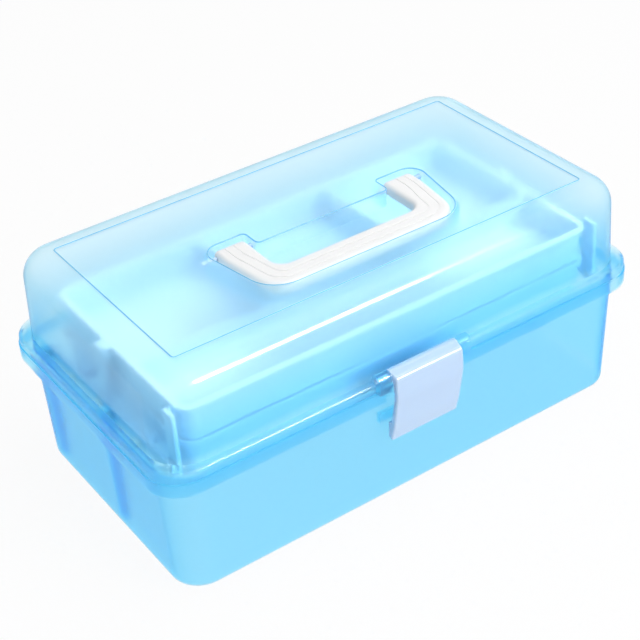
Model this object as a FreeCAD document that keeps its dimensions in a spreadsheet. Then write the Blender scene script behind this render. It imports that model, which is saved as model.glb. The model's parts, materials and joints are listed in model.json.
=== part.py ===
import FreeCAD, Part
import math
import os
import re

import Sketcher

# Driving dimensions in millimetres, each with the meaning that the sheet shows.
SIZES = {
    "rim_length": (330, "length of the base over its rim"),
    "rim_width": (183, "width of the base over its rim"),
    "box_height": (142, "height of the closed box"),
    "wall": (2.2, "wall of the base and of the lid"),
    "rim_corner": (21, "corner radius of the rim"),
    "rim_skirt": (8.5, "height of the base rim's outer skirt"),
    "rim_top": (82, "height of the base rim's top"),
    "bottom_length": (311.2, "length of the base at its foot"),
    "bottom_width": (169.4, "width of the base at its foot"),
    "base_corner": (18, "corner radius of the base at its foot"),
    "bottom_round": (4, "rounding of the base's bottom edge"),
    "base_slope": (0.03, "outward lean of the base walls"),
    "lid_gap": (0.3, "gap between the rim and the lid"),
    "flange_setback": (0.8, "distance of the lid flange inside the rim"),
    "flange_height": (6.3, "height of the lid flange"),
    "flange_round": (2.4, "rounding of the lid flange's top edge"),
    "lid_length": (317.5, "length of the lid's walls at the flange"),
    "lid_width": (173.5, "width of the lid's walls at the flange"),
    "lid_corner": (23, "corner radius of the lid at the flange"),
    "lid_slope": (0.038, "inward lean of the lid walls"),
    "lid_round": (16, "rounding of the lid's top edges"),
    "line_length": (276, "length of the fine line on the lid's top"),
    "line_width": (132.5, "width of the fine line on the lid's top"),
    "line_corner": (2.5, "corner radius of the fine line"),
    "line_breadth": (1.0, "breadth of the fine line"),
    "line_depth": (0.5, "depth of the fine line"),
    "recess_depth": (11, "depth of the handle recess"),
    "recess_side": (7.5, "room between the handle's ends and the recess"),
    "recess_fore": (1.2, "room between the handle's front and the recess"),
    "recess_rear": (2.8, "room behind the handle's arms in the recess"),
    "recess_step": (6.8, "distance of the recess's middle back edge before the handle's pivot"),
    "recess_taper": (10, "how far each side of the recess leans in towards the front"),
    "recess_round": (10, "radius of the recess's rear corners"),
    "recess_bend": (20, "radius of the recess's front corners"),
    "ear_side": (3, "room between the handle's arms and the step of the recess"),
    "ear_round": (3, "radius of the corners of the recess's step"),
    "handle_reach": (68.5, "half length of the handle"),
    "handle_breadth": (20, "breadth of the handle's arms"),
    "handle_front": (-47.3, "front edge of the handle"),
    "handle_inside": (-28.5, "inner edge of the handle's grip"),
    "handle_thick": (8.4, "thickness of the handle"),
    "handle_drop": (0.6, "distance of the handle's top below the lid's top"),
    "handle_axis": (4, "place of the handle's pivot behind the box's middle"),
    "handle_round": (2.8, "rounding of the handle's edges"),
    "handle_taper": (5.5, "how far each arm of the handle leans in towards the front"),
    "handle_bend": (18, "radius of the handle's outer corners"),
    "grip_bend": (8, "radius of the handle's inner corners"),
    "end_flat": (0.1, "flat left between the roundings of the handle's ends"),
    "groove_first": (6.3, "distance of the first groove from the handle's outer edge"),
    "groove_second": (12, "distance of the second groove from the handle's outer edge"),
    "groove_breadth": (0.8, "breadth of the handle's grooves"),
    "groove_depth": (0.5, "depth of the handle's grooves"),
    "pin_radius": (1.5, "radius of the hinge, latch and handle pins"),
    "pin_play": (0.06, "radial play of a turning piece on its pin"),
    "pin_hold": (0.02, "radial play of a pin in the piece that holds it"),
    "hinge_place": (95, "place of each hinge along the box"),
    "knuckle_radius": (4, "radius of the hinge knuckles"),
    "knuckle_width": (15.4, "width of the lid's knuckle"),
    "lug_width": (8, "width of a hinge lug or latch lug"),
    "side_gap": (0.4, "gap beside a turning piece"),
    "hinge_stand": (0.5, "gap between the rim and the hinge knuckles"),
    "latch_width": (46.4, "width of the latch"),
    "latch_axis_front": (91, "place of the latch's pivot before the box's middle"),
    "latch_axis_height": (90.5, "height of the latch's pivot"),
    "latch_knuckle": (3.8, "radius of the latch's knuckle"),
    "latch_thick": (2.8, "thickness of the latch's front plate"),
    "latch_bulge": (99.2, "place of the latch's front before the box's middle"),
    "latch_foot": (45.5, "height of the latch's lower end"),
    "latch_lean": (4, "how far the latch's lower front lies behind its bulge"),
    "latch_bend": (3.5, "radius of the bend at the latch's top"),
    "latch_bow": (28, "radius of the latch's curved front"),
    "latch_round": (1.2, "rounding of the latch's side edges"),
    "latch_room": (2, "room beside the latch in the base's rim"),
    "hook_slope": (1, "fall of the hook's upper face"),
    "catch_front": (89.4, "place of the catch bead before the box's middle"),
    "catch_length": (58, "length of the catch bead"),
    "catch_low": (59.2, "height of the catch bead's underside"),
    "catch_height": (6.5, "height of the catch bead"),
    "catch_gap": (0.4, "gap between the latch's hook and the catch bead"),
    "tray_length": (280.8, "length of both trays"),
    "tray_width": (142.8, "width of both trays"),
    "tray_shift": (-2, "place of the trays' middle along the width"),
    "tray_corner": (10, "corner radius of the trays"),
    "tray_wall": (1.8, "wall of the trays"),
    "upper_rim": (112, "height of the upper tray's rim"),
    "upper_depth": (21.7, "height of the upper tray"),
    "lower_depth": (25, "height of the lower tray"),
    "tray_gap": (0.8, "gap between the upper and the lower tray"),
    "tray_lip": (2.5, "breadth of the trays' lip"),
    "lip_thick": (1.8, "thickness of the trays' lip"),
    "pivot_height": (76, "height of all arm pivots in the closed box"),
    "rear_pivot": (66, "place of the rear arm's base pivot"),
    "arm_pitch": (74, "distance between the front and the rear arm"),
    "lower_reach": (30, "distance from the base pivot to the lower tray's pivot"),
    "upper_reach": (60, "distance from the base pivot to the upper tray's pivot"),
    "arm_inside": (146.5, "place of the arms' inner face along the box"),
    "arm_thick": (3, "thickness of the arms"),
    "arm_end": (4.6, "radius of the arms' ends"),
    "arm_gap": (0.3, "gap beside the arms"),
    "peg_radius": (1.9, "radius of the pegs"),
    "peg_head": (3.3, "radius of the pegs' heads"),
    "head_thick": (1.5, "thickness of the pegs' heads"),
    "ear_width": (9, "width of the upper tray's ears"),
    "ear_thick": (2.6, "thickness of the upper tray's ears"),
    "post_width": (10, "width of the pivot posts in the base"),
}

doc = FreeCAD.newDocument("art_supply_box")
sheet = doc.addObject("Spreadsheet::Sheet", "sheet")
for row, (alias, (number, meaning)) in enumerate(SIZES.items(), start=1):
    sheet.set("A%d" % row, meaning)
    sheet.set("B%d" % row, str(number))
    sheet.setAlias("B%d" % row, alias)
doc.recompute()

NEAR = 1e-4
AHEAD = 0.1
WORDS = re.compile(r"\b(%s)\b" % "|".join(sorted(SIZES, key=len, reverse=True)))


def bound(text):
    """The expression with every size read from the sheet."""
    return WORDS.sub(r"sheet.\1", str(text))


def size(text):
    """The number that an expression of sizes gives."""
    return float(sheet.evalExpression(bound(text)))


def point(across, along):
    return FreeCAD.Vector(size(across), size(along), 0)


# Sketches and features


def new_sketch(body, plane, offset):
    """A sketch on one of the body's origin planes, moved along the plane's normal."""
    sketch = body.newObject("Sketcher::SketchObject", body.Label + "_sketch")
    support = [item for item in body.Origin.OriginFeatures if item.Role == plane][0]
    sketch.AttachmentSupport = [(support, "")]
    sketch.MapMode = "FlatFace"
    sketch.setExpression("AttachmentOffset.Base.z", bound(offset))
    return sketch


def rounded_rectangle(sketch, length, width, radius, shift="0"):
    """A rectangle with round corners about the sketch's middle, bound to the sheet."""
    half_long = size(length) / 2
    half_wide = size(width) / 2
    corner = size(radius)
    middle = size(shift)
    first = len(sketch.Geometry)
    centres = []
    for turn, (sx, sy) in enumerate(((1, -1), (1, 1), (-1, 1), (-1, -1))):
        centre = FreeCAD.Vector(sx * (half_long - corner), middle + sy * (half_wide - corner), 0)
        centres.append(centre)
        circle = Part.Circle(centre, FreeCAD.Vector(0, 0, 1), corner)
        start = math.radians(90 * turn - 90)
        sketch.addGeometry(Part.ArcOfCircle(circle, start, start + math.pi / 2), False)
    for turn in range(4):
        arc = sketch.Geometry[first + turn]
        following = sketch.Geometry[first + (turn + 1) % 4]
        sketch.addGeometry(Part.LineSegment(arc.EndPoint, following.StartPoint), False)
    for turn in range(4):
        line = first + 4 + turn
        sketch.addConstraint(Sketcher.Constraint("Tangent", first + turn, 2, line, 1))
        sketch.addConstraint(Sketcher.Constraint("Tangent", line, 2, first + (turn + 1) % 4, 1))
    for turn in range(1, 4):
        sketch.addConstraint(Sketcher.Constraint("Equal", first, first + turn))
    sketch.addConstraint(Sketcher.Constraint("Vertical", first + 4))
    sketch.addConstraint(Sketcher.Constraint("Horizontal", first + 5))
    named = (
        ("DistanceX", first + 6, 1, first + 4, 1, 2 * half_long, length),
        ("DistanceY", first + 7, 1, first + 5, 1, 2 * half_wide, width),
    )
    for kind, one, one_end, two, two_end, number, text in named:
        index = sketch.addConstraint(Sketcher.Constraint(kind, one, one_end, two, two_end, number))
        sketch.setExpression("Constraints[%d]" % index, bound(text))
    index = sketch.addConstraint(Sketcher.Constraint("Radius", first, corner))
    sketch.setExpression("Constraints[%d]" % index, bound(radius))
    index = sketch.addConstraint(Sketcher.Constraint("DistanceX", -1, 1, first, 3, centres[0].x))
    sketch.setExpression("Constraints[%d]" % index, bound("(%s) / 2 - (%s)" % (length, radius)))
    index = sketch.addConstraint(Sketcher.Constraint("DistanceY", first, 3, -1, 1, -centres[0].y))
    sketch.setExpression("Constraints[%d]" % index, bound("(%s) / 2 - (%s) - (%s)" % (width, radius, shift)))


def outline(sketch, corners, radius="0"):
    """A closed outline through corner points. A corner's third entry is a radius of its own."""
    places = [point(*corner[:2]) for corner in corners]
    starts = []
    ends = []
    for index, place in enumerate(places):
        rounding = size(corners[index][2] if len(corners[index]) > 2 else radius)
        before = (places[index - 1] - place).normalize()
        after = (places[(index + 1) % len(places)] - place).normalize()
        half_turn = before.getAngle(after) / 2
        cut = rounding / math.tan(half_turn)
        starts.append(place + before * cut)
        ends.append(place + after * cut)
        if rounding > 0:
            bisector = (before + after).normalize()
            middle = place + bisector * (rounding / math.sin(half_turn) - rounding)
            sketch.addGeometry(Part.Arc(starts[-1], middle, ends[-1]), False)
    for index in range(len(places)):
        sketch.addGeometry(Part.LineSegment(ends[index], starts[(index + 1) % len(places)]), False)


def rectangle(sketch, low_across, low_along, high_across, high_along):
    outline(sketch, ((low_across, low_along), (high_across, low_along),
                     (high_across, high_along), (low_across, high_along)))


def circle(sketch, across, along, radius):
    sketch.addGeometry(Part.Circle(point(across, along), FreeCAD.Vector(0, 0, 1), size(radius)), False)


def pad(body, sketch, length, slope="0", midplane=False):
    """Material raised from a sketch, and the volume has to grow."""
    before = body.Shape.Volume if body.Tip else 0
    feature = body.newObject("PartDesign::Pad", body.Label + "_pad")
    feature.Profile = sketch
    feature.setExpression("Length", bound(length))
    if slope != "0":
        feature.setExpression("TaperAngle", "atan(%s)" % bound(slope))
    feature.Midplane = midplane
    doc.recompute()
    if body.Shape.Volume <= before:
        raise ValueError("a pad adds nothing to " + body.Label)
    return feature


def pocket(body, sketch, length, slope="0", upward=True, midplane=False):
    """Material cut from a sketch, and the volume has to shrink."""
    before = body.Shape.Volume
    feature = body.newObject("PartDesign::Pocket", body.Label + "_pocket")
    feature.Profile = sketch
    feature.setExpression("Length", bound(length))
    if slope != "0":
        feature.setExpression("TaperAngle", "atan(%s)" % bound(slope))
    feature.Reversed = upward
    feature.Midplane = midplane
    doc.recompute()
    if body.Shape.Volume >= before:
        raise ValueError("a pocket cuts nothing from " + body.Label)
    return feature


def round_edges(body, radius, chosen):
    """A fillet on the edges of the body that the test accepts."""
    base = body.Tip
    names = ["Edge%d" % (index + 1) for index, edge in enumerate(base.Shape.Edges) if chosen(edge)]
    if not names:
        raise ValueError("no edge to round on " + body.Label)
    feature = body.newObject("PartDesign::Fillet", body.Label + "_fillet")
    feature.Base = (base, names)
    feature.setExpression("Radius", bound(radius))
    doc.recompute()
    return feature


def level(edge, height):
    """Whether an edge lies flat at a height."""
    box = edge.BoundBox
    return abs(box.ZMin - height) < NEAR and abs(box.ZMax - height) < NEAR


def looks_ahead(shape, edge):
    """Whether a face beside an edge looks to the front."""
    middle = edge.valueAt((edge.FirstParameter + edge.LastParameter) / 2)
    for face in shape.ancestorsOfType(edge, Part.Face):
        normal = face.normalAt(*face.Surface.parameter(middle))
        if normal.y < -AHEAD:
            return True
    return False


def new_body(label):
    return doc.addObject("PartDesign::Body", label)


# Places that several pieces share

FLANGE_TOP = "rim_top + lid_gap + flange_height"
LID_LOW = "rim_top + lid_gap"
HINGE_BACK = "rim_width / 2 + hinge_stand + knuckle_radius"
HINGE_HEIGHT = "rim_top + lid_gap / 2"
HANDLE_TOP = "box_height - handle_drop"
HANDLE_HEIGHT = "box_height - handle_drop - handle_thick / 2"
HANDLE_BACK = "handle_axis + handle_thick / 2"
RECESS_REACH = "handle_reach + recess_side"
EAR_INSIDE = "handle_reach - handle_breadth - ear_side"
BASE_LUG_START = "hinge_place + %d * (knuckle_width / 2 + side_gap) + %d * lug_width / 2"
FRONT_PIVOT = "rear_pivot - arm_pitch"
ARM_OUTSIDE = "arm_inside + arm_thick"
LOWER_RIM = "upper_rim - upper_depth - tray_gap"
POST_FACE = "arm_inside + arm_thick + arm_gap"
EAR_FACE = "arm_inside - arm_gap"
SIDES = (("left", -1), ("right", 1))


def side_bar(body, middle, width, across, along, radius):
    """A round bar along the box, of a given width about a middle."""
    sketch = new_sketch(body, "YZ_Plane", middle)
    circle(sketch, across, along, radius)
    pad(body, sketch, width, midplane=True)


def side_hole(body, middle, width, across, along, radius):
    """A round hole along the box, of a given width about a middle."""
    sketch = new_sketch(body, "YZ_Plane", middle)
    circle(sketch, across, along, radius)
    pocket(body, sketch, width, midplane=True)


def make_base():
    body = new_body("base")
    sketch = new_sketch(body, "XY_Plane", "0")
    rounded_rectangle(sketch, "bottom_length", "bottom_width", "base_corner")
    pad(body, sketch, "rim_top", "base_slope")
    round_edges(body, "bottom_round", lambda edge: level(edge, 0))

    # Rim: a plate round the top with a skirt turned down
    wide_length = "bottom_length + 2 * base_slope * rim_top"
    wide_width = "bottom_width + 2 * base_slope * rim_top"
    sketch = new_sketch(body, "XY_Plane", "rim_top - rim_skirt")
    rounded_rectangle(sketch, "rim_length", "rim_width", "rim_corner")
    pad(body, sketch, "rim_skirt")
    sketch = new_sketch(body, "XY_Plane", "rim_top - rim_skirt")
    rounded_rectangle(sketch, "rim_length - 2 * wall", "rim_width - 2 * wall", "rim_corner - wall")
    rounded_rectangle(sketch, wide_length, wide_width, "base_corner + base_slope * rim_top")
    pocket(body, sketch, "rim_skirt - wall")

    # Room inside
    sketch = new_sketch(body, "XY_Plane", "wall")
    inner_length = "bottom_length - 2 * wall + 2 * base_slope * wall"
    inner_width = "bottom_width - 2 * wall + 2 * base_slope * wall"
    rounded_rectangle(sketch, inner_length, inner_width, "base_corner - wall")
    pocket(body, sketch, "rim_top", "base_slope")

    # Posts that carry the arms' base pegs
    for pivot in ("rear_pivot", FRONT_PIVOT):
        for _, side in SIDES:
            sketch = new_sketch(body, "XZ_Plane", "-(%s)" % pivot)
            foot = "3 * wall / 4"
            top = "pivot_height + post_width / 2"
            outside = "%d * (bottom_length / 2 - 3 * wall / 4 + base_slope * (%s))"
            outline(sketch, (
                ("%d * (%s)" % (side, POST_FACE), foot),
                (outside % (side, foot), foot),
                (outside % (side, top), top),
                ("%d * (%s)" % (side, POST_FACE), top),
            ))
            pad(body, sketch, "post_width", midplane=True)
            reach = "bottom_length / 2 - (%s)" % POST_FACE
            middle = "%d * (%s)" % (side, POST_FACE)
            side_hole(body, middle, "2 * (%s) - 2 * wall" % reach, pivot, "pivot_height", "peg_radius + pin_hold")

    # Catch bead under the latch, and the notch in the rim that the latch passes through
    sketch = new_sketch(body, "XY_Plane", "catch_low")
    rectangle(sketch, "-catch_length / 2", "-catch_front", "catch_length / 2", "-bottom_width / 2")
    pad(body, sketch, "catch_height")
    sketch = new_sketch(body, "XY_Plane", "rim_top - rim_skirt - wall")
    notch = "latch_width / 2 + latch_room"
    rectangle(sketch, "-(%s)" % notch, "-rim_width", notch, "-(catch_front - 3 * side_gap / 2)")
    pocket(body, sketch, "rim_skirt + 2 * wall")

    # Hinge lugs, two to each hinge
    for _, side in SIDES:
        for end in (-1, 1):
            middle = "%d * (%s)" % (side, BASE_LUG_START % (end, end))
            sketch = new_sketch(body, "XY_Plane", HINGE_HEIGHT + " - knuckle_radius")
            rectangle(sketch, "%s - lug_width / 2" % middle, "rim_width / 2 - wall / 2",
                      "%s + lug_width / 2" % middle, HINGE_BACK)
            pad(body, sketch, "knuckle_radius - lid_gap / 2")
            side_bar(body, middle, "lug_width", HINGE_BACK, HINGE_HEIGHT, "knuckle_radius")
            side_hole(body, middle, "lug_width + side_gap", HINGE_BACK, HINGE_HEIGHT, "pin_radius + pin_hold")
    return body


def mirrored(corners):
    """Corners of a right half, followed by the same corners on the left."""
    left = [("-(%s)" % corner[0], *corner[1:]) for corner in reversed(corners)]
    return [*corners, *left]


def recess_outline(grow):
    """Corners of the handle recess, grown outwards by a wall."""
    reach = "%s + %s" % (RECESS_REACH, grow)
    inside = "%s - %s" % (EAR_INSIDE, grow)
    back = "%s + recess_rear + %s" % (HANDLE_BACK, grow)
    return mirrored([
        ("%s - recess_taper" % reach, "handle_front - recess_fore - %s" % grow, "recess_bend + %s" % grow),
        (reach, back, "recess_round + %s" % grow),
        (inside, back, "ear_round + %s" % grow),
        (inside, "handle_axis - recess_step + %s" % grow, "ear_round - %s" % grow),
    ])


def make_lid():
    body = new_body("lid")
    rise = "box_height - (%s)" % LID_LOW
    sketch = new_sketch(body, "XY_Plane", LID_LOW)
    rounded_rectangle(sketch, "lid_length", "lid_width", "lid_corner")
    pad(body, sketch, rise, "-lid_slope")

    # Room inside, then the round edges of the top inside and outside
    sketch = new_sketch(body, "XY_Plane", LID_LOW)
    rounded_rectangle(sketch, "lid_length - 2 * wall", "lid_width - 2 * wall", "lid_corner - wall")
    pocket(body, sketch, rise + " - wall", "-lid_slope")
    round_edges(body, "lid_round - wall", lambda edge: level(edge, size("box_height - wall")))
    round_edges(body, "lid_round", lambda edge: level(edge, size("box_height")))

    # Flange: a ring round the wall's foot, hollow from below
    flange_long = "rim_length - 2 * flange_setback"
    flange_wide = "rim_width - 2 * flange_setback"
    sketch = new_sketch(body, "XY_Plane", LID_LOW)
    rounded_rectangle(sketch, flange_long, flange_wide, "rim_corner - flange_setback")
    rounded_rectangle(sketch, "lid_length - wall", "lid_width - wall", "lid_corner - wall / 2")
    pad(body, sketch, "flange_height")
    outer = size(flange_wide) / 2
    outer_end = size(flange_long) / 2
    round_edges(body, "flange_round", lambda edge: level(edge, size(FLANGE_TOP)) and (
        edge.BoundBox.YMax > outer - NEAR or edge.BoundBox.YMin < NEAR - outer
        or edge.BoundBox.XMax > outer_end - NEAR or edge.BoundBox.XMin < NEAR - outer_end))
    sketch = new_sketch(body, "XY_Plane", LID_LOW)
    rounded_rectangle(sketch, flange_long + " - 2 * wall", flange_wide + " - 2 * wall",
                      "rim_corner - flange_setback - wall")
    rounded_rectangle(sketch, "lid_length", "lid_width", "lid_corner")
    pocket(body, sketch, "flange_height - wall")

    # Fine line on the top
    sketch = new_sketch(body, "XY_Plane", "box_height - line_depth")
    rounded_rectangle(sketch, "line_length", "line_width", "line_corner")
    rounded_rectangle(sketch, "line_length - 2 * line_breadth", "line_width - 2 * line_breadth",
                      "line_corner - line_breadth")
    pocket(body, sketch, "2 * line_depth")

    # Handle recess: a pan that hangs from the top, and its room
    sketch = new_sketch(body, "XY_Plane", "box_height - recess_depth - wall")
    outline(sketch, recess_outline("wall"))
    pad(body, sketch, "recess_depth + wall / 2")
    sketch = new_sketch(body, "XY_Plane", "box_height - recess_depth")
    outline(sketch, recess_outline("0"))
    pocket(body, sketch, "2 * recess_depth")
    hole_span = "2 * (%s) + 6 * wall" % RECESS_REACH
    side_hole(body, "0", hole_span, "handle_axis", HANDLE_HEIGHT, "pin_radius + pin_hold")

    # Notch and lugs for the latch
    sketch = new_sketch(body, "XY_Plane", LID_LOW + " - wall")
    notch = "latch_width / 2 + side_gap"
    rectangle(sketch, "-(%s)" % notch, "-rim_width", notch, "-lid_width / 2 + side_gap / 2")
    pocket(body, sketch, "flange_height + 2 * wall")
    for _, side in SIDES:
        middle = "%d * (%s + lug_width / 2)" % (side, notch)
        sketch = new_sketch(body, "XY_Plane", LID_LOW + " + lid_gap")
        rectangle(sketch, "%s - lug_width / 2" % middle, "-latch_axis_front - latch_knuckle",
                  "%s + lug_width / 2" % middle, "-lid_width / 2 + wall / 2")
        pad(body, sketch, "latch_axis_height - (%s) - lid_gap" % LID_LOW)
        side_bar(body, middle, "lug_width", "-latch_axis_front", "latch_axis_height", "latch_knuckle")
        side_hole(body, middle, "lug_width + side_gap", "-latch_axis_front", "latch_axis_height",
                  "pin_radius + pin_hold")

    # Hinge knuckles
    for _, side in SIDES:
        middle = "%d * hinge_place" % side
        sketch = new_sketch(body, "XY_Plane", LID_LOW)
        rectangle(sketch, "%s - knuckle_width / 2" % middle, "rim_width / 2 - flange_setback - wall / 2",
                  "%s + knuckle_width / 2" % middle, HINGE_BACK)
        pad(body, sketch, "knuckle_radius - lid_gap / 2")
        side_bar(body, middle, "knuckle_width", HINGE_BACK, HINGE_HEIGHT, "knuckle_radius")
        side_hole(body, middle, "knuckle_width + side_gap", HINGE_BACK, HINGE_HEIGHT, "pin_radius + pin_play")
    return body


def handle_edge(inset, stop):
    """Outer edge of the handle, moved inwards, from one arm's end round to the other's."""
    side = "handle_reach - %s" % inset
    return mirrored([
        ("%s - handle_taper" % side, "handle_front + %s" % inset, "handle_bend - %s" % inset),
        (side, "handle_axis - handle_breadth / 2", "handle_breadth"),
        (side, stop),
    ])


def make_handle():
    body = new_body("handle")
    inner = "handle_reach - handle_breadth"
    edge = handle_edge("0", HANDLE_BACK)
    right, left = edge[:3], edge[3:]
    inside = mirrored([(inner, "handle_inside", "grip_bend")])
    sketch = new_sketch(body, "XY_Plane", HANDLE_TOP + " - handle_thick")
    outline(sketch, [*right, (inner, HANDLE_BACK), *inside, ("-(%s)" % inner, HANDLE_BACK), *left])
    pad(body, sketch, "handle_thick")
    back = size(HANDLE_BACK)
    top = size(HANDLE_TOP)
    bottom = size(HANDLE_TOP + " - handle_thick")
    round_edges(body, "(handle_thick - end_flat) / 2", lambda edge: edge.BoundBox.YMin > back - NEAR
                and (level(edge, top) or level(edge, bottom)))
    round_edges(body, "handle_round", lambda edge: edge.BoundBox.YMax < size("handle_axis") + NEAR
                and (level(edge, top) or level(edge, bottom)))
    side_hole(body, "0", "3 * handle_reach", "handle_axis", HANDLE_HEIGHT, "pin_radius + pin_play")
    for inset in ("groove_first", "groove_second"):
        sketch = new_sketch(body, "XY_Plane", HANDLE_TOP + " - groove_depth")
        near = handle_edge(inset, HANDLE_BACK)
        far = handle_edge("(%s - groove_breadth)" % inset, HANDLE_BACK)
        outline(sketch, [*near[:3], *reversed(far[:3]), *reversed(far[3:]), *near[3:]])
        pocket(body, sketch, "2 * groove_depth")
    return body


def make_latch():
    body = new_body("latch")
    sketch = new_sketch(body, "YZ_Plane", "0")
    front = "-latch_bulge"
    tip = "-catch_front - catch_gap"
    bulge_height = "latch_axis_height - 3 * latch_knuckle"
    outline(sketch, (
        ("-latch_axis_front", "latch_axis_height + latch_knuckle"),
        (front + " + latch_thick / 3", "latch_axis_height + latch_knuckle / 2", "latch_bend"),
        (front, bulge_height, "latch_bow"),
        (front + " + latch_lean", "catch_low - latch_thick", "latch_bow"),
        ("-catch_front - latch_thick", "latch_foot", "latch_thick / 3"),
        (tip, "latch_foot + latch_thick / 2"),
        (tip, "catch_low - side_gap - hook_slope"),
        (tip + " - latch_thick", "catch_low - side_gap"),
        (front + " + latch_thick", bulge_height, "latch_bow"),
        (front + " + 3 * latch_thick / 2", "latch_axis_height - latch_knuckle / 2"),
        ("-latch_axis_front", "latch_axis_height"),
    ))
    pad(body, sketch, "latch_width", midplane=True)
    plate = body.Tip.Shape
    round_edges(body, "latch_round", lambda edge: edge.BoundBox.XLength < NEAR and looks_ahead(plate, edge))
    side_bar(body, "0", "latch_width", "-latch_axis_front", "latch_axis_height", "latch_knuckle")
    side_hole(body, "0", "latch_width + side_gap", "-latch_axis_front", "latch_axis_height",
              "pin_radius + pin_play")
    return body


def tray_shell(label, rim, depth, dividers):
    """A tray with a lip, open at the top, with rooms between its dividers."""
    body = new_body(label)
    floor = "%s - %s" % (rim, depth)
    sketch = new_sketch(body, "XY_Plane", floor)
    rounded_rectangle(sketch, "tray_length - 2 * tray_lip", "tray_width - 2 * tray_lip", "tray_corner - tray_lip",
                      "tray_shift")
    pad(body, sketch, depth)
    sketch = new_sketch(body, "XY_Plane", "%s - lip_thick" % rim)
    rounded_rectangle(sketch, "tray_length", "tray_width", "tray_corner", "tray_shift")
    pad(body, sketch, "lip_thick")
    low = "tray_shift - tray_width / 2 + tray_lip + tray_wall"
    high = "tray_shift + tray_width / 2 - tray_lip - tray_wall"
    start = "-tray_length / 2 + tray_lip + tray_wall"
    end = "tray_length / 2 - tray_lip - tray_wall"
    sketch = new_sketch(body, "XY_Plane", floor + " + tray_wall")
    for room_start, room_end, room_low, room_high in dividers(start, end, low, high):
        outline(sketch, ((room_start, room_low), (room_end, room_low), (room_end, room_high), (room_start, room_high)),
                "tray_corner - tray_lip - 2 * tray_wall")
    pocket(body, sketch, depth)
    return body


def upper_rooms(start, end, low, high):
    """A long room in front, and three rooms behind it."""
    split = "tray_shift - tray_width / 8"
    yield start, end, low, split + " - tray_wall / 2"
    third = "(tray_length - 2 * tray_lip) / 6"
    back = split + " + tray_wall / 2"
    yield start, "-%s - tray_wall / 2" % third, back, high
    yield "-%s + tray_wall / 2" % third, "%s - tray_wall / 2" % third, back, high
    yield "%s + tray_wall / 2" % third, end, back, high


def lower_rooms(start, end, low, high):
    """Two rooms side by side."""
    yield start, "-tray_wall / 2", low, high
    yield "tray_wall / 2", end, low, high


def make_upper_tray():
    body = tray_shell("upper_tray", "upper_rim", "upper_depth", upper_rooms)
    for pivot in ("rear_pivot - upper_reach", FRONT_PIVOT + " - upper_reach"):
        for _, side in SIDES:
            # Ear that hangs from the lip down to the arm, with a round lower end
            middle = "%d * (%s - ear_thick / 2)" % (side, EAR_FACE)
            sketch = new_sketch(body, "YZ_Plane", middle)
            rectangle(sketch, "%s - ear_width / 2" % pivot, "pivot_height", "%s + ear_width / 2" % pivot, "upper_rim")
            pad(body, sketch, "ear_thick", midplane=True)
            side_bar(body, middle, "ear_thick", pivot, "pivot_height", "ear_width / 2")
            sketch = new_sketch(body, "XY_Plane", "upper_rim - 4 * lip_thick")
            near = "%d * (tray_length / 2 - tray_lip - tray_wall / 2)" % side
            far = "%d * (%s)" % (side, EAR_FACE)
            low, high = sorted((near, far), key=size)
            ear_low = "max(%s - ear_width / 2; tray_shift - tray_width / 2 + tray_corner)" % pivot
            rectangle(sketch, low, ear_low, high, "%s + ear_width / 2" % pivot)
            pad(body, sketch, "4 * lip_thick")
            side_hole(body, middle, "2 * ear_thick", pivot, "pivot_height", "peg_radius + pin_play")
    return body


def make_lower_tray():
    body = tray_shell("lower_tray", LOWER_RIM, "lower_depth", lower_rooms)
    for pivot in ("rear_pivot - lower_reach", FRONT_PIVOT + " - lower_reach"):
        for _, side in SIDES:
            # Boss that reaches from the tray's end to the arm
            reach = "%s - tray_length / 2 + tray_lip + tray_wall / 2" % EAR_FACE
            middle = "%d * (%s - (%s) / 2)" % (side, EAR_FACE, reach)
            side_bar(body, middle, reach, pivot, "pivot_height", "ear_width / 2")
            hole = "%d * (%s)" % (side, EAR_FACE)
            side_hole(body, hole, "2 * (%s) - 2 * tray_wall" % reach, pivot, "pivot_height", "peg_radius + pin_play")
    return body


def make_arm(label, side, pivot):
    """A flat bar with round ends and three peg holes, its base peg at the back."""
    body = new_body(label)
    middle = "%d * (arm_inside + arm_thick / 2)" % side
    tip = "%s - upper_reach" % pivot
    sketch = new_sketch(body, "YZ_Plane", middle)
    rectangle(sketch, tip, "pivot_height - arm_end", pivot, "pivot_height + arm_end")
    pad(body, sketch, "arm_thick", midplane=True)
    for end in (tip, pivot):
        side_bar(body, middle, "arm_thick", end, "pivot_height", "arm_end")
    for place in (pivot, "%s - lower_reach" % pivot, tip):
        side_hole(body, middle, "2 * arm_thick", place, "pivot_height", "peg_radius + pin_play")
    return body


def cylinder(label, radius, start, length, across, height):
    """A round bar along the box that starts at a place and runs to the right."""
    bar = doc.addObject("Part::Cylinder", label)
    bar.setExpression("Radius", bound(radius))
    bar.setExpression("Height", bound(length))
    bar.Placement.Rotation = FreeCAD.Rotation(FreeCAD.Vector(0, 1, 0), 90)
    bar.setExpression("Placement.Base.x", bound(start))
    bar.setExpression("Placement.Base.y", bound(across))
    bar.setExpression("Placement.Base.z", bound(height))
    return bar


def make_peg(label, side, place, head_start, shaft_start, shaft_length):
    """A peg with a flat round head, along the box."""
    starts = []
    for start, length in ((head_start, "head_thick"), (shaft_start, shaft_length)):
        starts.append(start if side > 0 else "-(%s) - (%s)" % (start, length))
    head = cylinder(label + "_head", "peg_head", starts[0], "head_thick", place, "pivot_height")
    shaft = cylinder(label + "_shaft", "peg_radius", starts[1], shaft_length, place, "pivot_height")
    peg = doc.addObject("Part::Fuse", label)
    peg.Base = head
    peg.Tool = shaft
    return peg


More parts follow.
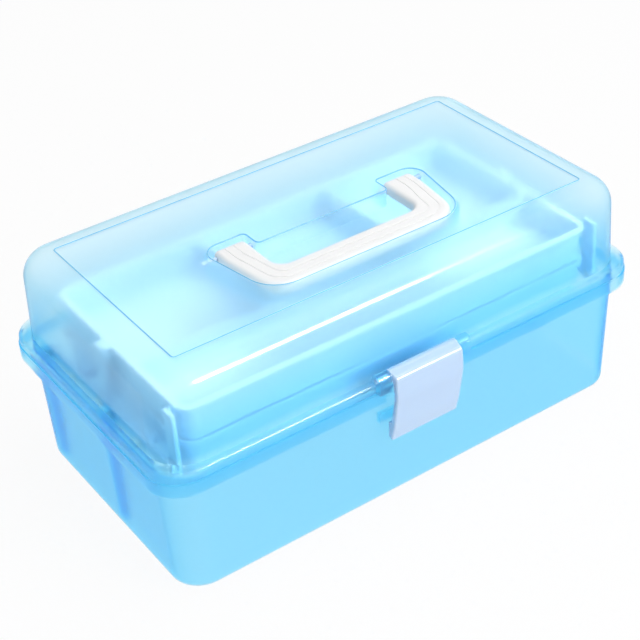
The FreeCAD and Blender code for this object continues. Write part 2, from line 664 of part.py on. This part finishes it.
def make_arms_and_pegs():
    pieces = []
    for name, side in SIDES:
        for row, pivot in (("front", FRONT_PIVOT), ("rear", "rear_pivot")):
            pieces.append(make_arm("%s_%s_arm" % (name, row), side, pivot))
            stem = "%s_%s_" % (name, row)
            half_gap = "arm_gap / 2"
            inner_head = "arm_inside - %s - head_thick" % half_gap
            inner_shaft = "arm_inside - arm_gap"
            base_length = "bottom_length / 2 - wall - arm_inside"
            pieces.append(make_peg(stem + "base_peg", side, pivot, inner_head, inner_shaft, base_length))
            outer_head = "%s + %s" % (ARM_OUTSIDE, half_gap)
            lower_start = "tray_length / 2 - tray_lip + 2 * tray_wall"
            lower_length = "%s + arm_gap - (%s)" % (ARM_OUTSIDE, lower_start)
            pieces.append(make_peg(stem + "lower_peg", side, "%s - lower_reach" % pivot,
                                   outer_head, lower_start, lower_length))
            upper_start = "%s - ear_thick" % EAR_FACE
            upper_length = "%s + arm_gap - (%s)" % (ARM_OUTSIDE, upper_start)
            pieces.append(make_peg(stem + "upper_peg", side, "%s - upper_reach" % pivot,
                                   outer_head, upper_start, upper_length))
    return pieces


def make_pins():
    pieces = []
    latch_span = "latch_width + 2 * side_gap + 2 * lug_width"
    pieces.append(cylinder("latch_pin", "pin_radius", "-(%s) / 2" % latch_span, latch_span,
                           "-latch_axis_front", "latch_axis_height"))
    hinge_span = "knuckle_width + 2 * side_gap + 2 * lug_width"
    handle_start = "%s - wall" % EAR_INSIDE
    handle_end = "%s + wall" % RECESS_REACH
    handle_span = "%s - (%s)" % (handle_end, handle_start)
    for name, side in SIDES:
        start = "%d * hinge_place - (%s) / 2" % (side, hinge_span)
        pieces.append(cylinder(name + "_hinge_pin", "pin_radius", start, hinge_span, HINGE_BACK, HINGE_HEIGHT))
        start = handle_start if side > 0 else "-(%s)" % handle_end
        pieces.append(cylinder(name + "_handle_pin", "pin_radius", start, handle_span, "handle_axis", HANDLE_HEIGHT))
    return pieces


pieces = [make_base(), make_lid(), make_handle(), make_latch(), make_upper_tray(), make_lower_tray()]
pieces += make_arms_and_pegs()
pieces += make_pins()
doc.recompute()

for item in doc.Objects:
    if "Invalid" in item.State or "Error" in item.State:
        raise ValueError("%s failed: %s" % (item.Label, item.State))
for piece in pieces:
    if piece.Shape.isNull() or not piece.Shape.isValid():
        raise ValueError("no valid shape for " + piece.Label)

os.makedirs("parts", exist_ok=True)
for piece in pieces:
    piece.Shape.exportStep("parts/%s.step" % piece.Label)
    print("%-24s solids %d volume %.1f cm3" % (piece.Label, len(piece.Shape.Solids), piece.Shape.Volume / 1000))
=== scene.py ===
import json
import math

import bpy
from mathutils import Matrix, Vector


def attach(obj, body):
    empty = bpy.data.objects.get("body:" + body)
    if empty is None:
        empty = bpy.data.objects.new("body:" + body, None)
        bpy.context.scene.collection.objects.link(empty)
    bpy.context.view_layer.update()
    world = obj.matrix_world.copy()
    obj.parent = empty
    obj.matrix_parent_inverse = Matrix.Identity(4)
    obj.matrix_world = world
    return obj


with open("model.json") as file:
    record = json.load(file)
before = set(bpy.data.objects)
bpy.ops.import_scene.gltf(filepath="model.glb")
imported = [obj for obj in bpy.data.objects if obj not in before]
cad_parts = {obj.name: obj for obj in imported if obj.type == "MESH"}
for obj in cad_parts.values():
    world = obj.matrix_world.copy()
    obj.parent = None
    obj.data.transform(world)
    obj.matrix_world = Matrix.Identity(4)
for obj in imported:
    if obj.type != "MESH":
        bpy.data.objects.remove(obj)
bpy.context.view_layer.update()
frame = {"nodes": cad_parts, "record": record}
nodes = frame["nodes"]

# Camera, fitted to the photograph's 640 by 640 frame

AZIMUTH = math.radians(-33.02)
ELEVATION = math.radians(34.93)
ROLL = math.radians(-3.73)
DISTANCE = 0.9494
ASIDE = -0.0084
ABOVE = 0.0555
FOCAL_PIXELS = 1525.1
FRAME_PIXELS = 640
SENSOR = 36.0
CLIP_START = 0.01


def add_camera():
    back = Vector((
        math.sin(AZIMUTH) * math.cos(ELEVATION),
        -math.cos(AZIMUTH) * math.cos(ELEVATION),
        math.sin(ELEVATION),
    ))
    right = Vector((0, 0, 1)).cross(back).normalized()
    up = back.cross(right)
    rolled_right = right * math.cos(ROLL) + up * math.sin(ROLL)
    rolled_up = up * math.cos(ROLL) - right * math.sin(ROLL)
    place = rolled_right * ASIDE + rolled_up * ABOVE + back * DISTANCE
    data = bpy.data.cameras.new("camera")
    data.sensor_width = SENSOR
    data.lens = SENSOR * FOCAL_PIXELS / FRAME_PIXELS
    data.clip_start = CLIP_START
    camera = bpy.data.objects.new("camera", data)
    axes = Matrix((rolled_right, rolled_up, back)).transposed()
    camera.matrix_world = Matrix.Translation(place) @ axes.to_4x4()
    bpy.context.scene.collection.objects.link(camera)
    bpy.context.scene.camera = camera


# Materials

WHITE = (1, 1, 1, 1)

# Clear plastic
PASSED_LIGHT = (0.0, 0.79, 1.0)
CLEAR_IOR = 1.06
CLEAR_SHARE = 0.97
COAT_WEIGHT = 0.42
COAT_ROUGHNESS = 0.1
CLOUD_SCALE = 14.0
CLOUD_DETAIL = 3.0
MOTTLE = 0.1
HAZE_START = 0.4
HAZE_END = 0.9
RIPPLE_SCALE = 60.0
RIPPLE_DETAIL = 1.0
RIPPLE_STRENGTH = 0.01
RIPPLE_HEIGHT = 0.001

# Opaque plastic
SOLID_IOR = 1.46
GLOW_DEPTH = 0.002
TONE_SCALE = 30.0
TONE_DETAIL = 3.0
TONE_START = 0.2
TONE_END = 0.8
DARK_TONE = 0.985
ROUGHNESS_SPREAD = 0.05
GRAIN_SCALE = 1400.0
GRAIN_DETAIL = 2.0
GRAIN_STRENGTH = 0.03
GRAIN_HEIGHT = 0.0001


def new_material(name):
    material = bpy.data.materials.new(name)
    material.use_nodes = True
    tree = material.node_tree
    shader = tree.nodes["Principled BSDF"]
    return material, tree, shader


def add_noise(tree, scale, detail):
    coordinates = tree.nodes.new("ShaderNodeTexCoord")
    noise = tree.nodes.new("ShaderNodeTexNoise")
    noise.inputs["Scale"].default_value = scale
    noise.inputs["Detail"].default_value = detail
    tree.links.new(coordinates.outputs["Object"], noise.inputs["Vector"])
    return noise.outputs["Fac"]


def add_ramp(tree, source, target, stops):
    """Drives the target by the source, along stops that are each a position and a colour."""
    ramp = tree.nodes.new("ShaderNodeValToRGB")
    elements = ramp.color_ramp.elements
    while len(elements) < len(stops):
        elements.new(1.0)
    for element, (position, colour) in zip(elements, stops):
        element.position = position
        element.color = (*colour, 1)
    tree.links.new(source, ramp.inputs["Fac"])
    tree.links.new(ramp.outputs["Color"], target)


def add_bump(tree, shader, source, strength, distance):
    bump = tree.nodes.new("ShaderNodeBump")
    bump.inputs["Strength"].default_value = strength
    bump.inputs["Distance"].default_value = distance
    tree.links.new(source, bump.inputs["Height"])
    tree.links.new(bump.outputs["Normal"], shader.inputs["Normal"])


def grey(value):
    return (value, value, value)


def add_height(tree, cloud, low, high):
    """A share from 0 to 1 that grows with the height on the piece, with a slight mottle."""
    coordinates = tree.nodes.new("ShaderNodeTexCoord")
    split = tree.nodes.new("ShaderNodeSeparateXYZ")
    tree.links.new(coordinates.outputs["Object"], split.inputs["Vector"])
    share = tree.nodes.new("ShaderNodeMapRange")
    share.inputs["From Min"].default_value = low
    share.inputs["From Max"].default_value = high
    share.inputs["To Max"].default_value = 1 - MOTTLE
    tree.links.new(split.outputs["Z"], share.inputs["Value"])
    mottled = tree.nodes.new("ShaderNodeMath")
    mottled.operation = "MULTIPLY_ADD"
    tree.links.new(cloud, mottled.inputs[0])
    mottled.inputs[1].default_value = MOTTLE
    tree.links.new(share.outputs["Result"], mottled.inputs[2])
    return mottled.outputs["Value"]


def coat_outside(tree, shader):
    """A glossy coat on the outer faces alone, so that the inner faces of a wall don't add to it."""
    shader.inputs["Coat Roughness"].default_value = COAT_ROUGHNESS
    side = tree.nodes.new("ShaderNodeNewGeometry")
    outside = tree.nodes.new("ShaderNodeMath")
    outside.operation = "SUBTRACT"
    outside.use_clamp = True
    outside.inputs[0].default_value = COAT_WEIGHT
    tree.links.new(side.outputs["Backfacing"], outside.inputs[1])
    tree.links.new(outside.outputs["Value"], shader.inputs["Coat Weight"])


def translucent_plastic(name, tints, heights, foot_haze, top_haze, density):
    """Tinted clear plastic: the walls blur what is behind them, and thick places are a deeper blue. The
    colour follows the height on the piece, and on the lid that colour is painted light and shade.
    """
    material, tree, shader = new_material(name)
    shader.inputs["IOR"].default_value = CLEAR_IOR
    shader.inputs["Transmission Weight"].default_value = CLEAR_SHARE
    coat_outside(tree, shader)
    cloud = add_noise(tree, CLOUD_SCALE, CLOUD_DETAIL)
    height = add_height(tree, cloud, *heights)
    # Colour by height: on the lid these tints are painted light and shade.
    add_ramp(tree, height, shader.inputs["Base Color"], tints)
    hazes = [(HAZE_START, grey(foot_haze)), (HAZE_END, grey(top_haze))]
    add_ramp(tree, height, shader.inputs["Roughness"], hazes)
    ripple = add_noise(tree, RIPPLE_SCALE, RIPPLE_DETAIL)
    add_bump(tree, shader, ripple, RIPPLE_STRENGTH, RIPPLE_HEIGHT)
    inside = tree.nodes.new("ShaderNodeVolumeAbsorption")
    inside.inputs["Color"].default_value = (*PASSED_LIGHT, 1)
    inside.inputs["Density"].default_value = density
    tree.links.new(inside.outputs["Volume"], tree.nodes["Material Output"].inputs["Volume"])
    return material


def moulded_plastic(name, colour, roughness, glow):
    """Opaque moulded plastic with a fine grain. The glow is the share of light that goes a little way in."""
    material, tree, shader = new_material(name)
    shader.inputs["IOR"].default_value = SOLID_IOR
    shader.inputs["Subsurface Weight"].default_value = glow
    shader.inputs["Subsurface Radius"].default_value = (1, 1, 1)
    shader.inputs["Subsurface Scale"].default_value = GLOW_DEPTH
    cloud = add_noise(tree, TONE_SCALE, TONE_DETAIL)
    dark = [part * DARK_TONE for part in colour]
    add_ramp(tree, cloud, shader.inputs["Base Color"], [(TONE_START, dark), (TONE_END, colour)])
    smooth = grey(roughness * (1 - ROUGHNESS_SPREAD))
    rough = grey(roughness * (1 + ROUGHNESS_SPREAD))
    add_ramp(tree, cloud, shader.inputs["Roughness"], [(TONE_START, smooth), (TONE_END, rough)])
    grain = add_noise(tree, GRAIN_SCALE, GRAIN_DETAIL)
    add_bump(tree, shader, grain, GRAIN_STRENGTH, GRAIN_HEIGHT)
    return material


def set_material(piece, material):
    piece.data.materials.clear()
    piece.data.materials.append(material)


# Stage: a pale floor, a white surround and soft lamps

WORLD_LIGHT = 0.5
FLOOR_HALF = 3.0
FLOOR_DROP = 0.0004
FLOOR_COLOUR = (0.9, 0.9, 0.9, 1)
FLOOR_ROUGHNESS = 0.9
FLOOR_GLOW = 0.93


def camera_white(tree):
    """Whether a ray comes from the camera, straight or through gloss or a clear wall."""
    path = tree.nodes.new("ShaderNodeLightPath")
    first = tree.nodes.new("ShaderNodeMath")
    first.operation = "MAXIMUM"
    tree.links.new(path.outputs["Is Camera Ray"], first.inputs[0])
    tree.links.new(path.outputs["Is Glossy Ray"], first.inputs[1])
    second = tree.nodes.new("ShaderNodeMath")
    second.operation = "MAXIMUM"
    tree.links.new(first.outputs["Value"], second.inputs[0])
    tree.links.new(path.outputs["Is Transmission Ray"], second.inputs[1])
    return second.outputs["Value"]


def add_world():
    world = bpy.data.worlds.new("world")
    bpy.context.scene.world = world
    world.use_nodes = True
    tree = world.node_tree
    shade = tree.nodes["Background"]
    shade.inputs["Color"].default_value = WHITE
    shade.inputs["Strength"].default_value = WORLD_LIGHT
    white = tree.nodes.new("ShaderNodeBackground")
    white.inputs["Color"].default_value = WHITE
    white.inputs["Strength"].default_value = 1.0
    mix = tree.nodes.new("ShaderNodeMixShader")
    tree.links.new(camera_white(tree), mix.inputs["Fac"])
    tree.links.new(shade.outputs["Background"], mix.inputs[1])
    tree.links.new(white.outputs["Background"], mix.inputs[2])
    tree.links.new(mix.outputs["Shader"], tree.nodes["World Output"].inputs["Surface"])


def floor_white():
    """White to the camera, apart from a share that keeps the object's shadow."""
    material, tree, shader = new_material("floor_white")
    shader.inputs["Base Color"].default_value = FLOOR_COLOUR
    shader.inputs["Roughness"].default_value = FLOOR_ROUGHNESS
    glow = tree.nodes.new("ShaderNodeEmission")
    glow.inputs["Color"].default_value = WHITE
    glow.inputs["Strength"].default_value = 1.0
    share = tree.nodes.new("ShaderNodeMath")
    share.operation = "MULTIPLY"
    share.inputs[1].default_value = FLOOR_GLOW
    tree.links.new(camera_white(tree), share.inputs[0])
    mix = tree.nodes.new("ShaderNodeMixShader")
    tree.links.new(share.outputs["Value"], mix.inputs["Fac"])
    tree.links.new(shader.outputs["BSDF"], mix.inputs[1])
    tree.links.new(glow.outputs["Emission"], mix.inputs[2])
    tree.links.new(mix.outputs["Shader"], tree.nodes["Material Output"].inputs["Surface"])
    return material


def add_floor():
    mesh = bpy.data.meshes.new("floor")
    corners = [(x * FLOOR_HALF, y * FLOOR_HALF, 0) for x, y in ((-1, -1), (1, -1), (1, 1), (-1, 1))]
    mesh.from_pydata(corners, [], [(0, 1, 2, 3)])
    floor = bpy.data.objects.new("floor", mesh)
    floor.location.z = -FLOOR_DROP
    bpy.context.scene.collection.objects.link(floor)
    set_material(floor, floor_white())


def add_lamp(name, place, target, breadth, depth, power, only_gloss=False):
    data = bpy.data.lights.new(name, "AREA")
    data.shape = "RECTANGLE"
    data.size = breadth
    data.size_y = depth
    data.energy = power
    lamp = bpy.data.objects.new(name, data)
    lamp.location = place
    lamp.rotation_euler = (Vector(target) - Vector(place)).to_track_quat("-Z", "Y").to_euler()
    lamp.visible_transmission = not only_gloss
    lamp.visible_diffuse = not only_gloss
    bpy.context.scene.collection.objects.link(lamp)


# Dark lines of painted shade along the lid's moulded groove and the handle recess's edge, in millimetres as
# in the CAD

PER_METRE = 1000
LID_TOP = 142.0
LINE_ARC_STEPS = 8
LINE_ROUNDNESS = 2
FINE_LENGTH = 275
FINE_WIDTH = 131.5
FINE_CORNER = 2
FINE_RADIUS = 0.5
FINE_DEPTH = 0.4
RECESS_HALF = [(66, -48.5, 20), (76, 11, 10), (45.5, 11, 3), (45.5, -2.8, 3)]
RECESS_RADIUS = 0.42
RECESS_DEPTH = 0.2


def rounded_path(corners):
    """Points of a closed outline whose corners, each (x, y, radius), are rounded."""
    points = []
    for number, (x, y, radius) in enumerate(corners):
        corner = Vector((x, y))
        before = Vector(corners[number - 1][:2])
        after = Vector(corners[(number + 1) % len(corners)][:2])
        back = (before - corner).normalized()
        ahead = (after - corner).normalized()
        half = back.angle(ahead) / 2
        middle = corner + (back + ahead).normalized() * radius / math.sin(half)
        start = corner + back * radius / math.tan(half)
        stop = corner + ahead * radius / math.tan(half)
        sweep = (start - middle).angle_signed(stop - middle)
        for step in range(LINE_ARC_STEPS + 1):
            turned = Matrix.Rotation(-sweep * step / LINE_ARC_STEPS, 2) @ (start - middle)
            points.append(middle + turned)
    return points


def add_line(name, corners, depth, radius, material):
    """A thin dark line of painted shade along a moulded edge. It rides on the lid, with its middle a little
    below the lid's top.
    """
    points = rounded_path(corners)
    curve = bpy.data.curves.new(name, "CURVE")
    curve.dimensions = "3D"
    curve.bevel_depth = radius / PER_METRE
    curve.bevel_resolution = LINE_ROUNDNESS
    spline = curve.splines.new("POLY")
    spline.points.add(len(points) - 1)
    height = (LID_TOP - depth) / PER_METRE
    for place, point in zip(spline.points, points):
        place.co = (point.x / PER_METRE, point.y / PER_METRE, height, 1)
    spline.use_cyclic_u = True
    line = bpy.data.objects.new(name, curve)
    bpy.context.scene.collection.objects.link(line)
    set_material(line, material)
    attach(line, "lid")


# The scene

BOX_MIDDLE = (0, 0, 0.07)

add_camera()
bpy.context.scene.view_settings.view_transform = "Standard"
add_world()
add_floor()
add_lamp("top_light", (0.3, -0.3, 1.4), BOX_MIDDLE, breadth=1.2, depth=0.9, power=8)
add_lamp("key_light", (0.45, -1.2, 0.82), BOX_MIDDLE, breadth=0.9, depth=0.25, power=6.5)
add_lamp("strip_light", (0.55, -1.2, 0.82), BOX_MIDDLE, breadth=0.4, depth=0.25, power=34, only_gloss=True)

# Each tint is a share of the way from the low to the high height, in metres, and a colour
# Painted light and shade on the lid: the top is painted near white, as if lit from above. The walls are
# painted a deeper blue lower down, deepest in a band at the flange, which partly stands for its thick
# plastic. The foot is painted paler again.
LID_HEIGHTS = (0.085, 0.140)
LID_TINTS_PAINTED_LIGHT_AND_SHADE = [(0.1, (0.84, 0.96, 1.0)), (0.2, (0.51, 0.835, 1.0)), (0.9, (0.99, 0.995, 1.0))]
BASE_HEIGHTS = (0.070, 0.076)
BASE_TINTS = [(0.1, (0.97, 0.98, 1.0)), (0.9, (0.84, 0.96, 1.0))]
lid_blue = translucent_plastic(
    "lid_blue", LID_TINTS_PAINTED_LIGHT_AND_SHADE, LID_HEIGHTS, foot_haze=0.28, top_haze=0.42, density=40)
base_blue = translucent_plastic(
    "base_blue", BASE_TINTS, BASE_HEIGHTS, foot_haze=0.5, top_haze=0.3, density=195)
tray_blue = moulded_plastic("tray_blue", (0.62, 0.845, 1.0), roughness=0.4, glow=0.0)
white = moulded_plastic("white_plastic", (0.95, 0.955, 0.965), roughness=0.35, glow=0.8)
# The latch is white plastic with a faint blue of its own. It is painted a darker pale blue for shade and for
# the blue that the box reflects onto it.
latch_white_painted_shade = moulded_plastic("latch_white_painted_shade", (0.56, 0.72, 0.95), roughness=0.2, glow=0.5)
# Painted shade: a dark blue for the lines that stand in for the shade along the lid's groove and the
# recess's edge.
line_painted_shade = moulded_plastic("line_painted_shade", (0.26, 0.60, 0.84), roughness=0.3, glow=0.0)

SLOT_MATERIALS = {"blue_plastic": base_blue, "tray_plastic": tray_blue, "white_plastic": white}
for part in frame["record"]["subparts"]:
    set_material(nodes[part["node"]], SLOT_MATERIALS[part["material_slot"]])
set_material(nodes["lid"], lid_blue)
# The latch and the pins take the latch colour with its painted shade and painted blue reflection.
for node in ("latch", "latch_pin", "left_handle_pin", "right_handle_pin"):
    set_material(nodes[node], latch_white_painted_shade)

fine_x = FINE_LENGTH / 2
fine_y = FINE_WIDTH / 2
fine_edge = [(x, y, FINE_CORNER) for x, y in
             ((fine_x, -fine_y), (fine_x, fine_y), (-fine_x, fine_y), (-fine_x, -fine_y))]
recess_edge = RECESS_HALF + [(-x, y, radius) for x, y, radius in reversed(RECESS_HALF)]
# Two lines of painted shade: one around the top panel's groove and one around the handle recess.
add_line("lid_fine_line", fine_edge, FINE_DEPTH, FINE_RADIUS, line_painted_shade)
add_line("lid_recess_line", recess_edge, RECESS_DEPTH, RECESS_RADIUS, line_painted_shade)
